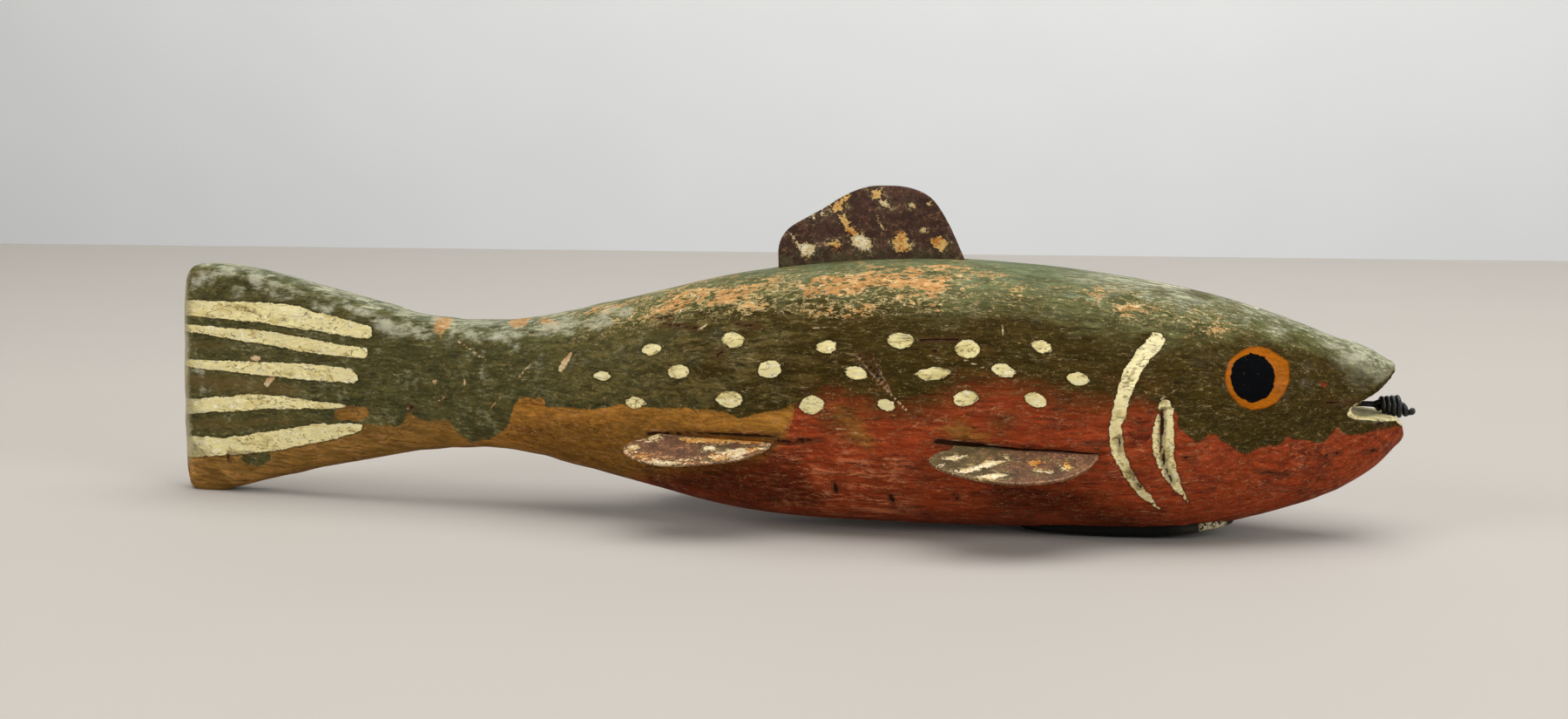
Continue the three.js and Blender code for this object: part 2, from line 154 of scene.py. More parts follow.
# Olive dabbed past its edge, and gaps in it
OLIVE_DABS = paths(
    (-1584, 70, 28, 10, 32, 5, 5, -18, -23, -15, -26, 2),
    (-207, 214, 19, 1, -2, -14, -14, -1),
    (-489, 210, 27, -4, 8, -16, -20, -4, -12, 10),
)
GAPS = paths(
    (299, 270, 13, -4, -6, -10, -12, 3),
    (-1382, 166, 26, 8, 36, -1, 2, -13, -22, -11, -34, -2, -12, 8),
)
# Shoulder rubbed through to wood: x, lower z, upper z, tenths of it that are gone
RUBBED = rows(
    4, -1040, 310, 350, 0, -980, 315, 356, 4, -900, 320, 370, 5.5, -860, 328, 374, 6,
    -760, 348, 400, 9.5, -700, 360, 409, 9, -610, 370, 420, 10, -510, 373, 432, 8.5,
    -405, 379, 443, 9, -295, 381, 443, 8, -240, 383, 438, 6, -157, 388, 423, 4, -80, 378, 420, 4,
    10, 362, 406, 7, 70, 360, 397, 6, 130, 345, 390, 7, 158, 354, 384, 3.5, 220, 330, 360, 1.2,
    300, 310, 340, 0
)
# Places bare of paint
BARE_CHIPS = paths(
    (-1196, 334, 23, -1, 16, -10, -11, -5, -7, -14, -10, 9),
    (-1064, 336, 22, 4, 25, 3, -3, -14, -16, -8, -13, 5),
    (-999, 338, 23, 6, 14, -8, -24, -6),
    (-776, 382, 28, 8, 30, -8, -8, -18, -14, -16, -18, 8, -16, 10),
    (-695, 372, 19, 22, 36, 12, 35, -2, -20, -15, -40, -9),
    (-530, 396, 20, 30, 70, 12, 80, 4, 76, -4, -14, -26, -62, 0, -60, -8, -60, -14),
    (-326, 416, 26, 0, -6, -34, -14, 12),
)
# Painted highlights on the paint that faces up, and painted shade on the belly under the fins
SHEEN = strokes(
    (-1685, 394, 9, -1600, 398, 12, -1500, 382, 9, -1400, 356, 8, -1310, 330, 9, -1236, 316, 8),
    (-1670, 384, 10, -1635, 387, 15),
    (-1585, 376, 10, -1546, 370, 13),
    (-1504, 359, 9, -1470, 354, 9),
    (-1420, 346, 9, -1395, 338, 8),
    (-1314, 326, 13, -1266, 318, 18, -1206, 318, 15),
    (-1152, 315, 8, -1105, 316, 12, -1040, 318, 12, -990, 316, 11, -940, 333, 15, -880, 347, 13,
     -830, 360, 7),
    (-1088, 290, 4, -1098, 264, 9, -1094, 248, 3),
    (-1664, 240, 3, -1654, 214, 9, -1656, 184, 3),
    (-1702, 364, 10, -1702, 250, 17, -1702, 90, 12),
    (240, 346, 1, 300, 324, 4, 342, 306, 9, 364, 298, 7, 386, 289, 3),
)
# Painted shade: dark strokes on the belly under the fins
UNDER_FIN_SHADE = strokes(
    (-780, 72, 15, -700, 80, 28, -620, 80, 46, -550, 84, 42, -510, 60, 26),
    (-240, 80, 8, -170, 76, 24, -90, 68, 36, -20, 44, 30),
)
# Ochre smeared over the red
SMEARS = strokes(
    (-480, 234, 8, -454, 212, 20, -428, 184, 22, -409, 158, 9),
    (-300, 196, 8, -265, 192, 21, -225, 182, 9),
    (-1380, 158, 16, -1320, 164, 16),
)
# Thin brown over the olive
WASHES = strokes(
    (-1696, 206, 10, -1600, 204, 18, -1500, 199, 15, -1430, 196, 3),
    (-1698, 274, 8, -1630, 269, 6, -1570, 266, 0),
    (-1698, 124, 8, -1600, 128, 10, -1470, 144, 6),
    (-1672, 394, 8, -1648, 399, 8),
    (409, 278, 4.5, 416, 272, 4.5),
)
# Small pale pink flakes
PALE_CHIPS = paths(
    (-949, 259, 7, 17, 8, 7, 7, 9, 4, -2, -7, -14, -6, -12, -8, -8),
    (-1528, 207, 8, 10, 21, 5, -11, -11, -11, -10),
    (-1555, 252, 11, 5, 14, -2, -4, -7, -12, -1),
)
# Scratches and flecks in the paint: x, z, x, z, half width
SCRATCHES = rows(
    5, -430, 307, -381, 254, 2.2, -407, 308, -374, 248, 2, -382, 254, -350, 224, 1.4,
    -374, 248, -360, 228, 1, -298, 179, -240, 174, 1, -220, 171, -165, 168, 0.8,
    -780, 169, -740, 172, 1, -1023, 239, -949, 237, 1.2, -1028, 239, -997, 270, 1.2,
    -1083, 181, -1056, 209, 1.2, -1147, 302, -1087, 270, 1.4, -1188, 189, -1165, 201, 1.4,
    -506, 348, -460, 350, 1, -463, 190, -428, 181, 1.4, -745, 345, -732, 368, 0.8,
    -701, 336, -683, 348, 1, -262, 306, -220, 290, 1, -202, 366, -199, 343, 0.8,
    -864, 236, -863, 196, 1, 46, 246, 76, 263, 0.9, -1187, 227, -1183, 227, 3.5,
    -1128, 233, -1126, 225, 2, -1239, 178, -1238, 177, 2, 31, 419, 96, 406, 2.2,
    182, 385, 206, 376, 2, -550, 433, -526, 435, 1.2
)
# Open cracks and knife slips: x, z, x, z, half width
CRACKS = rows(
    5, -429, 309, -380, 256, 1.3, -409, 309, -376, 250, 1.1, -1239, 180, -1230, 178, 2,
    -1609, 74, -1608, 60, 1.2, -1609, 74, -1555, 77, 1, -665, 298, -653, 306, 1.5,
    -330, 334, -270, 336, 1.2, -784, 352, -746, 356, 1.2, 51, 228, 51.5, 175, 2.2,
    51.5, 175, 57, 140, 2, 57, 140, 70, 110, 1.4, -15, 186, -13, 160, 1, 2, 134, 10, 120, 1,
    16, 108, 20, 104, 2.2, -469, 93, -466, 80, 3, -377, 74, -375, 67, 3.5, -309, 319, -303, 316, 2,
    -274, 82, -269, 74, 2, 198, 129, 254, 119, 1, 87, 154, 104, 149, 1.6, -764, 344, -701, 341, 1,
    -634, 350, -596, 347, 1.2, -524, 169, -490, 168, 1.4, -67, 176, -34, 175, 1,
    310, 234, 370, 232, 1.2, 314, 150, 336, 152, 1.6, 374, 152, 394, 154, 1.2,
    394, 194, 404, 192, 2, -302, 174, -227, 168, 3.6, -227, 166, -172, 163, 3.2,
    -172, 163, -117, 161, 2.6, -117, 161, -50, 156, 3, -786, 162, -714, 168, 2,
    -714, 168, -638, 171, 1.6, -638, 171, -560, 172, 2, -560, 164, -506, 163, 1.6
)
# The lips: cream paint follows the lower lip and thinly the corner of the upper one
LOWER_LIP = path(
    342, 212, 11, -6, 14, -2.5, 40, -2, 14, -1.5, 9, -4, 5, -4
)
UPPER_LIP = path(
    342, 215, 6, 8, 9, 6, 11, 6
)
# Flaked paint on the fins. The back fin's places are x, z; the side fins' are x and the
# distance from the middle plane.
DORSAL_PALE = paths(
    (-554, 471, 18, 3, 16, -6, -3, -14, -20, -2),
    (-565, 490, 3, 1, 21, -31, -4, -1),
    (-529, 518, 6, 5, 5, -8, -7, -5),
    (-516, 525, 7, 7, 4, -8, -7, -5),
    (-462, 483, 17, 7, 19, -10, -3, -19, -15, 2, -13, 7),
    (-417, 547, 16, -2, 5, -11, -13, 2),
    (-417, 514, 2, 1, 9, -17, -2, -1),
    (-342, 500, 4, 1, 1, -6, -4, -1),
    (-364, 541, 8, -1, -1, -5, -6, 1),
    (-335, 543, 5, -1, -1, -4, -4, 1),
)
DORSAL_OCHRE = paths(
    (-494, 535, 9, 12, 22, 7, -9, -15, -5, -13, -14, 2),
    (-485, 522, 13, -2, 10, -18, 15, -10, -5, -6, -14, 4, -10, 16),
    (-498, 475, 14, 4, 12, -9, -14, -9),
    (-430, 563, 18, -3, 5, -16, -13, 5),
    (-393, 481, 22, 11, 10, -23, -11, -12, -14, 7),
    (-326, 482, 15, 8, 12, -14, -9, -14, -15, 6),
)
PECTORAL_PALE = paths(
    (-289, 233, 17, -14, 20, -3, -17, 16),
    (-299, 251, 19, -8, -9, 13),
    (-277, 264, 25, -5, 35, -32, 25, -4, -22, 22, -40, 25),
    (-234, 275, 26, -13, 24, -1, -22, 17),
    (-192, 214, 4, 2, -1, -5, -3, -1),
    (-146, 243, 6, -1, 23, 3, -5, 3, -20, -2),
)
PECTORAL_OCHRE = paths(
    (-162, 221, 16, -8, 17, 4, -16, 13),
    (-102, 217, 10, -5, 6, 12, -11, 5),
)
PELVIC_PALE = paths(
    (-779, 126, 14, 1, -1, 13, -13, -2),
    (-809, 159, 7, -5, 12, 9, -8, 5),
    (-684, 164, 22, 2, 1, 12, -19, -2),
    (-642, 179, 25, -4, 15, 13, -20, 14, -15, -6),
    (-762, 199, 26, 4, 24, 7, -16, 3, -27, -5),
)
PELVIC_OCHRE = paths(
    (-793, 181, 24, 4, -3, 12, -14, -4),
    (-668, 194, 22, -3, 13, 13, -24, 5),
    (-613, 176, 19, -2, 13, 7, -21, 11),
    (-727, 142, 73, 1, 75, 15, 1, 8, -73, -9, -58, -3),
)
# Where the fine skin is drawn out a little to the photograph's outline
PULL_PATHS = paths(
    (-1680, 404, 80, -2, 120, -28, 100, -28, 80, -22),
    (432, 276, -2, -8),
    (360, 314, 64, -32),
    (342, 213, 6, -3),
    (365, 204, 60, -4),
    (440, 186, -4, -20),
)
# For each of them the shift along x and z, and the reach
PULLS = rows(
    3, 0, 6, 36, 3.5, 1, 24, 2.5, 5, 24, 6, 4.5, 13, 0, 5, 15, 3, 1, 14
)
# The body's middle line leaves the middle plane behind this place and sweeps to the left, in
# millimetres
BEND_X, BEND_RUN, BEND_SWEEP, BEND_POWER = -57.3, 112.6, 13.5, 1.6

# The stored value of a mark that a side doesn't carry
NOWHERE = -9


def paint(screen):
    """A paint colour given by the hex digits of its screen values, for the shader."""
    return tuple(((value / 255 + 0.055) / 1.055) ** 2.4 for value in bytes.fromhex(screen))


def colour(name, description, screen):
    return FloatVectorProperty(name=name, description=description, default=paint(screen),
                               subtype="COLOR", size=3, min=0, max=1)


def number(name, description, default, least=0, most=100, **kind):
    return FloatProperty(name=name, description=description, default=default, min=least,
                         max=most, **kind)


def length(name, description, millimetres, least=0):
    return number(name, description, millimetres * MM, least * MM, 2 * MM, unit="LENGTH")


def angle(name, description, degrees):
    return number(name, description, math.radians(degrees), -math.pi, math.pi, subtype="ANGLE")


class DecoyPaints(bpy.types.PropertyGroup):
    """Colours of the decoy's paints and bare materials."""

    olive: colour("Olive", "Olive paint of the flank", "392e10")
    tail_olive: colour("Tail olive", "Greener olive of the tail", "4c4626")
    # Green, back and the bleached colour: the olive paler where it faces up, partly painted sheen
    green: colour("Green", "Olive where it starts to face up", "545432")
    back: colour("Back", "Paler green along the back", "5e6648")
    bleached_and_sheen: colour("Bleached", "Greyer back of the head and the tail", "70725a")
    ochre: colour("Ochre", "Ochre paint under the tail", "966628")
    brown: colour("Brown", "Darker, browner ochre", "7a5828")
    red: colour("Red", "Red paint of the belly and throat", "8a391c")
    deep_red: colour("Deep red", "Darker strokes in the red", "6e2e1a")
    cream: colour("Cream", "Spots, stripes, gills and lip", "ded098")
    ring: colour("Eye ring", "Orange ring of the eye", "9e580b")
    pupil: colour("Pupil", "Black of the eye", "050608")
    wood: colour("Bare wood", "Wood where the paint is rubbed thin", "aa9868")
    bare: colour("Orange wood", "Undercoat and wood in the rubbed patches", "b88650")
    rust: colour("Sheet", "Darkened sheet of the back fin", "402a1f")
    # The side fins' sheet painted browner and paler than the back fin's, partly painted light as
    # they face up
    lit_side_sheet: colour("Side sheet", "Browner, paler sheet of the side fins", "684832")
    # The lead painted near black: painted shadow under the belly
    lead: colour("Lead", "Dull poured lead", "090908")
    wire: colour("Wire", "Blackened wire", "141616")


class DecoyRelief(bpy.types.PropertyGroup):
    """Depths of the carving and the size of the fine mesh."""

    grid: length("Skin grid", "Spacing of the body's fine mesh", 0.58, 0.3)
    hollows: length("Hollows", "Depth of the knife's broad hollows", 0.22)
    grain: length("Grain", "Depth of the grain and brush lines", 0.07)
    film: length("Paint film", "Thickness of the cream paint", 0.09)


class DecoyStudio(bpy.types.PropertyGroup):
    """Floor, backdrop, lights and camera."""

    floor: colour("Floor", "Plain pale floor", "aca69e")
    wall: colour("Wall", "Plain pale backdrop", "f6f7f5")
    key_power: number("Key light", "Power of the overhead light in watts", 12)
    side_power: number("Side lights", "Power of each side light in watts", 6.5)
    wall_power: number("Backdrop light", "Power of the backdrop's light in watts", 3.7)
    sky: number("Fill", "Strength of the even fill light", 0.12)
    lens: number("Lens", "Camera lens on a 36 mm wide sensor", 46, 10, 200)
    azimuth: angle("Azimuth", "Camera's turn to the left of +Y", 8.5)
    pitch: angle("Pitch", "Camera's tilt below the horizon", 7.37)


# Distances to painted marks, all in millimetres and positive inside a mark

def line_distance(places, start, stop):
    """Distance of each place from one straight line, and how far along the line it is nearest."""
    start, stop = np.array(start, float), np.array(stop, float)
    run = stop - start
    along = np.clip((places - start) @ run / max(run @ run, 1e-9), 0, 1)
    return np.linalg.norm(places - start - along[:, None] * run, axis=1), along


def path_distance(places, path):
    return np.min([line_distance(places, a, b)[0] for a, b in zip(path, path[1:])], axis=0)


def inside_outline(places, outline):
    inside = np.zeros(len(places), bool)
    for (ax, ay), (bx, by) in zip(outline, outline[1:] + outline[:1]):
        crosses = (ay > places[:, 1]) != (by > places[:, 1])
        reach = ax + (places[:, 1] - ay) * (bx - ax) / (by - ay if by != ay else 1e-9)
        inside ^= crosses & (places[:, 0] < reach)
    return inside


def outline_depth(places, outline):
    """How deep each place lies inside a closed outline, negative outside."""
    gap = path_distance(places, outline + outline[:1])
    return np.where(inside_outline(places, outline), gap, -gap)


def stroke_depth(places, stroke):
    """How deep each place lies inside a brush stroke."""
    depths = []
    for a, b in zip(stroke, stroke[1:]):
        gap, along = line_distance(places, a[:2], b[:2])
        depths.append(a[2] + (b[2] - a[2]) * along - gap)
    return np.max(depths, axis=0)


def dab_depth(places, dab):
    x, z, half_length, half_height, tilt = dab
    turn = math.radians(tilt)
    across = places - (x, z)
    u = (across[:, 0] * math.cos(turn) + across[:, 1] * math.sin(turn)) / half_length
    v = (across[:, 1] * math.cos(turn) - across[:, 0] * math.sin(turn)) / half_height
    return (1 - (np.abs(u) ** 1.6 + v * v) ** 0.55) * min(half_length, half_height)


def slit_depth(places, slit):
    return slit[4] - line_distance(places, slit[:2], slit[2:4])[0]


def deepest(depth, places, marks):
    return np.max([depth(places, mark) for mark in marks], axis=0)


def past_line(places, line, along, way):
    """Signed distance past a line that runs along one axis, forwards (1) or backwards (-1)."""
    points = np.array(line)
    level = np.interp(way * places[:, along], way * points[:, along], points[:, 1 - along])
    gap = path_distance(places, line)
    return np.where(places[:, 1 - along] > level, gap, -gap)


# Fine meshes from the solids

def new_piece(name, mesh):
    piece = bpy.data.objects.new(name, mesh)
    bpy.context.collection.objects.link(piece)
    return piece


def crisp_lines(form, spacing):
    """Points along the form's crisp edges, as a tree for finding the nearest."""
    points = []
    for edge in form.edges:
        if len(edge.link_faces) == 2 and edge.calc_face_angle(0.0) > math.radians(26):
            a, b = (vert.co for vert in edge.verts)
            steps = max(1, int((b - a).length / spacing))
            points += [a.lerp(b, step / steps) for step in range(steps + 1)]
    tree = kdtree.KDTree(len(points))
    for index, point in enumerate(points):
        tree.insert(point, index)
    tree.balance()
    return tree


def fine_skin(node, name, grid, rounds, crisp_rounds, crisp_reach, regain=()):
    """A fine closed copy of a solid: smoothed rounds times, less near its crisp edges. The
    solid's form is then brought back, once for each spread in regain, evened out over it."""
    form = bmesh.new()
    form.from_mesh(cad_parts[node].data)
    bmesh.ops.remove_doubles(form, verts=form.verts, dist=0.001 * MM)
    tree = crisp_lines(form, 0.4 * MM)
    solid = BVHTree.FromBMesh(form)
    mesh = bpy.data.meshes.new(name)
    form.to_mesh(mesh)
    form.free()
    piece = new_piece(name, mesh)
    remesh = piece.modifiers.new("Skin", "REMESH")
    remesh.mode, remesh.voxel_size = "VOXEL", grid
    skin = bmesh.new()
    skin.from_object(piece, bpy.context.evaluated_depsgraph_get())
    piece.modifiers.clear()
    gaps = [tree.find(vert.co)[2] for vert in skin.verts]
    calm = [vert for vert, gap in zip(skin.verts, gaps) if gap > crisp_reach]
    for verts in [calm] * rounds + [skin.verts] * crisp_rounds:
        bmesh.ops.smooth_vert(skin, verts=verts, factor=0.5, use_axis_x=True, use_axis_y=True,
                              use_axis_z=True)
    for face in skin.faces:
        face.smooth = True
    skin.to_mesh(piece.data)
    skin.free()
    piece.data.update()
    for spread in regain:
        places, normals = surface(piece)
        nearest = np.array([solid.find_nearest(Vector(place) * MM)[0] for place in places]) / MM
        lost = np.clip(np.sum((nearest - places) * normals, axis=1), -0.8, 0.8)
        move_vertices(piece, places + normals * spread_out(piece, lost, spread)[:, None])
    return piece, np.array(gaps) / MM


def spread_out(piece, values, rounds):
    """Evens out one number per vertex over the neighbouring vertices."""
    ends = np.empty(len(piece.data.edges) * 2, np.int32)
    piece.data.edges.foreach_get("vertices", ends)
    a, b = ends.reshape(-1, 2).T
    count = np.bincount(ends, minlength=len(values))
    for step in range(rounds):
        total = np.bincount(a, values[b], len(values)) + np.bincount(b, values[a], len(values))
        values = 0.5 * values + 0.5 * total / count
    return values


def surface(piece):
    """Vertex positions in millimetres, and vertex normals."""
    places, normals = (np.empty(len(piece.data.vertices) * 3, np.float32) for part in range(2))
    piece.data.vertices.foreach_get("co", places)
    piece.data.vertices.foreach_get("normal", normals)
    return places.reshape(-1, 3).astype(float) / MM, normals.reshape(-1, 3).astype(float)


def move_vertices(piece, places):
    """Moves the vertices, in millimetres, and keeps them inside the solids' box."""
    low, high = (np.array(corner) / MM for corner in SOLID_BOX)
    kept = np.clip(places, low, high) * MM
    piece.data.vertices.foreach_set("co", kept.astype(np.float32).ravel())
    piece.data.update()


def note(piece, name, values):
    """Stores one number for each vertex, for the material to read."""
    layer = piece.data.attributes.new(name, "FLOAT", "POINT")
    layer.data.foreach_set("value", np.asarray(values, np.float32))


def rough(places, size, stretch=(1, 1, 1), shift=0):
    """Soft noise from -1 to 1 with lumps about size millimetres across."""
    scaled = places / (size * np.array(stretch, float)) + shift
    return np.array([noise.noise(Vector(place)) for place in scaled])


def finish_piece(piece, node, material):
    piece.data.materials.clear()
    piece.data.materials.append(material)
    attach(piece, "root")
    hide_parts(node)


# Shader maths

def operator(operation, swapped=False):
    """A Python operator that adds a Math node."""
    def add_node(self, other=0):
        pair = (other, self) if swapped else (self, other)
        return self.shade.maths(operation, *pair)
    return add_node


class Value:
    """A shader number that takes part in Python arithmetic."""

    def __init__(self, shade, socket):
        self.shade = shade
        self.socket = socket

    __add__ = __radd__ = operator("ADD")
    __mul__ = __rmul__ = operator("MULTIPLY")
    __sub__ = operator("SUBTRACT")
    __rsub__ = operator("SUBTRACT", swapped=True)
    __rpow__ = operator("POWER", swapped=True)
    __truediv__ = operator("DIVIDE")
    __abs__ = operator("ABSOLUTE")
    most = operator("MAXIMUM")

    def ramp(self, low, high):
        """0 below low, 1 above high, smooth between; low may be above high."""
        return self.shade.node("ShaderNodeMapRange", {"interpolation_type": "SMOOTHSTEP"},
                               {"Value": self, "From Min": low, "From Max": high})


class Shade:
    """One material: places in millimetres, noises, stored numbers and colour mixes."""

    def __init__(self, name):
        self.material = bpy.data.materials.new(name)
        self.material.use_nodes = True
        self.tree = self.material.node_tree
        self.tree.nodes.clear()
        place = self.node("ShaderNodeTexCoord", out="Object")
        self.place = self.vector("MULTIPLY", place, (1 / MM, 1 / MM, 1 / MM))

    def node(self, kind, settings=None, values=None, out=0):
        """A node with its settings and sockets. A string for a colour is hex digits."""
        node = self.tree.nodes.new(kind)
        for name, setting in (settings or {}).items():
            setattr(node, name, setting)
        for name, value in (values or {}).items():
            socket = node.inputs[name]
            if isinstance(value, Value):
                self.tree.links.new(value.socket, socket)
            elif socket.type == "RGBA":
                colour = paint(value) if isinstance(value, str) else value
                socket.default_value = (*colour, 1)
            else:
                socket.default_value = value
        return Value(self, node.outputs[out])

    def maths(self, operation, first, second):
        return self.node("ShaderNodeMath", {"operation": operation}, {0: first, 1: second})

    def vector(self, operation, first, second):
        return self.node("ShaderNodeVectorMath", {"operation": operation}, {0: first, 1: second})

    def axis(self, name):
        return self.node("ShaderNodeSeparateXYZ", values={"Vector": self.place}, out=name)

    def stored(self, name):
        return self.node("ShaderNodeAttribute", {"attribute_name": name}, out="Fac")

    def mark(self, name):
        """The stored depth inside a painted mark."""
        return self.stored(name + "_edge")

    def noise(self, size, along, detail, roughness, shift, across=1, out=0):
        place = self.vector("MULTIPLY", self.place,
                            (1 / (size * along), 1 / (size * across), 1 / size))
        place = self.vector("ADD", place, (shift, shift * 0.7, shift * 1.3))
        return self.node("ShaderNodeTexNoise", {"noise_dimensions": "3D"},
                         {"Vector": place, "Scale": 1, "Detail": detail,
                          "Roughness": roughness}, out)

    def lumps(self, size, along=1, detail=3, roughness=0.6, shift=0, across=1):
        """Noise around 0, its lumps about size millimetres across and longer along the fish."""
        return self.noise(size, along, detail, roughness, shift, across) - 0.5

    def wander(self, size, reach):
        """From here on patterns wander by up to about reach millimetres."""
        shift = self.noise(size, 1, 2, 0.55, 51, out="Color")
        shift = self.vector("SUBTRACT", shift, (0.5, 0.5, 0.5))
        shift = self.vector("MULTIPLY", shift, (2 * reach, 2 * reach, 2 * reach))
        self.place = self.vector("ADD", self.place, shift)

    def curls(self, size, along, width, shift):
        """1 on fine curling lines, 0 between them."""
        return abs(self.lumps(size, along, 2, 0.5, shift)).ramp(width, width * 0.3)

    def mix(self, share, first, second):
        return self.node("ShaderNodeMix", {"data_type": "RGBA"},
                         {0: share, 6: first, 7: second}, out=2)

    def coats(self, base, *coats):
        """A colour with coats over it, each a share and a colour."""
        for share, coat in coats:
            base = self.mix(share, base, coat)
        return base

    def shaded(self, base, share):
        """A colour made lighter or darker by a number around 1."""
        return self.node("ShaderNodeVectorMath", {"operation": "SCALE"},
                         {0: base, "Scale": share})

    def close(self, base, roughness, height, fixed):
        """The finished material, with a bump from a height in millimetres."""
        bump = self.node("ShaderNodeBump", values={"Height": height, "Distance": MM,
                                                   "Strength": 1})
        surface = self.node("ShaderNodeBsdfPrincipled", values={
            "Base Color": base, "Roughness": roughness, "Normal": bump, **fixed})
        out = self.tree.nodes.new("ShaderNodeOutputMaterial")
        self.tree.links.new(surface.socket, out.inputs["Surface"])
        return self.material


# Noises on the wood: size across, stretch along the fish, detail, roughness, place
WOOD_NOISES = (
    (2.6, 1.6, 5, 0.65), (0.8, 1.5, 3, 0.65, 7), (0.42, 12, 3, 0.65, 3), (0.95, 7, 4, 0.72, 13),
    (2.1, 4, 3, 0.6, 11), (8, 1.8, 4, 0.6, 21), (0.5, 2.8, 4, 0.74, 31), (3, 1.2, 2, 0.5, 101),
    (4.8, 1.9, 5, 0.72, 61), (1.25, 2.4, 4, 0.74, 71),
)


def painted_wood(paints, relief):
    shade = Shade("painted_wood")
    x, y, z = (shade.axis(name) for name in "XYZ")
    up = shade.stored("up")
    shade.wander(5, 0.7)
    ragged, nibble, grain, fibre, brush, mottle, speck, dent, spread, curl = (
        shade.lumps(*noise) for noise in WOOD_NOISES)
    pale_lines = shade.curls(1.2, 5.5, 0.022, 41) * (brush + speck + dent).ramp(0.07, 0.17)
    dark_lines = shade.curls(1.3, 8, 0.024, 91) * (mottle + brush + speck).ramp(-0.04, 0.1)
    tone = grain * 2.8 + fibre * 2.8 + speck * 1.9 + brush * 1.3 + mottle * 0.9
    tone = 2 ** (tone - tone.most(0.2) * 0.35 + 0.07)

    # Lower paints
    ochre = shade.coats(
        paints.ochre, ((mottle + brush).ramp(0, 0.2), "7e5220"),
        ((x + mottle * 20).ramp(-100, -122), paints.brown),
        ((x + mottle * 16).ramp(-146, -160) * (brush + mottle).ramp(-0.1, 0.1) * 0.6,
         "9e723c"))
    # Painted shade: the ochre darker towards the bottom, ahead of the tail's end
    ochre = shade.shaded(ochre, 1 - x.ramp(-106, -98) * (z + mottle * 6).ramp(20, 15) * 0.4)
    red = shade.mix((brush + mottle * 0.8).ramp(-0.02, 0.16), paints.red, paints.deep_red)
    to_red = (shade.mark("red") + ragged * 2.4 + nibble * 0.8) / (shade.stored("low") * 2.4 + 0.2)
    scraped = x.ramp(-64, -56) * x.ramp(-32, -38) * z.ramp(19, 13)
    smear = (shade.mark("smear") + ragged * 4 + fibre * 3).ramp(-0.6, 1.8)
    base = shade.coats(
        ochre, (to_red.ramp(-1, 1), red), (pale_lines * (0.5 + scraped * 0.4), "ba7a4e"),
        ((fibre + speck + brush).ramp(0.02, 0.14) * scraped * 0.7, "a6603e"),
        # painted shade: the belly darkened under the fins
        ((shade.mark("under_fin_shade") + ragged * 7 + mottle * 3).ramp(-2, 2.4) * 0.66, "361407"),
        (smear * 0.66, "865c26"))

    # Olive: browner over the red, greener on the tail; paler facing up, partly as painted sheen
    hind = x.ramp(-90, -106)
    bleached_and_sheen = (x + mottle * 20).ramp(-14, 4).most((x + mottle * 20).ramp(-84, -98))
    facing = (up + mottle * 0.5 + brush * 0.3 + dent * 0.4 + x.ramp(10, 36) * 0.1
              + x.ramp(31, 38) * 0.28 + x.ramp(-84, -98) * 0.12
              + x.ramp(-36, -22) * x.ramp(18, 8) * 0.07)
    lighter = (brush + fibre + mottle * 0.5).ramp(-0.08, 0.16) * x.ramp(-46, -56)
    # Painted highlights: glints on the tail's small lumps; the dark patches between them are
    # painted shade
    glints = (dent * 0.6 + speck + nibble * 0.7).ramp(0.06, 0.2) * hind
    thin = x.ramp(-56, -46) * x.ramp(8, -2) * 3.2 + 0.2
    olive_in = (shade.mark("olive") + ragged * 1.6 + nibble * 0.9 + fibre * thin * 2.2
                + (mottle + brush * 0.6) * (thin - 0.2) * 1.8)
    glaze = olive_in.ramp(9, 1) * (thin - 0.2) * (mottle + brush * 0.9).ramp(-0.08, 0.1) * 0.13
    drip = (olive_in.ramp(2.4, 0.6) * x.ramp(-60, -75)).most(
        olive_in.ramp(3.4, 1) * x.ramp(9, 11) * x.ramp(24, 16))
    olive = shade.coats(
        paints.olive, ((x + mottle * 60).ramp(-58, -92), paints.tail_olive),
        ((mottle * 0.7 + dent + brush * 0.5).ramp(0, 0.12) * x.ramp(-48, -62) * 0.2, "363c26"),
        (lighter * x.ramp(-98, -88) * 0.42, "645630"),
        # Paler and greyer where it faces up, with pale flecks: partly paler paint, partly painted
        # sheen
        (facing.ramp(0.45, 0.85), shade.mix(x.ramp(29, 38), paints.green, "74725a")),
        (facing.ramp(0.8, 1.04), shade.mix(bleached_and_sheen, paints.back, paints.bleached_and_sheen)),
        ((facing + speck * 1.4 + grain + fibre).ramp(0.96, 1.22) * bleached_and_sheen * 0.55,
         "aaaa90"),
        # painted highlights and painted shade on the tail's lumps
        (glints * 0.5, "767658"),
        ((nibble * 0.8 + ragged * 0.5 - dent).ramp(0.02, 0.14) * hind * 0.5, "323622"),
        (glaze, "622e16"), (drip * (mottle + ragged).ramp(-0.04, 0.12) * 0.7, "32361e"),
        (pale_lines * 0.4, "8c7c54"))
    to_olive = (olive_in / thin).ramp(-1, 1)
    scuffs = (fibre + grain * 0.6 + speck * 0.4).ramp(0.21, 0.29) * (0.36 - to_olive * 0.12)
    base = shade.coats(
        shade.shaded(shade.mix(to_olive, base, olive), tone), (dark_lines * 0.55, "22160a"),
        (scuffs, shade.mix(to_olive, "be7852", "88764c")))

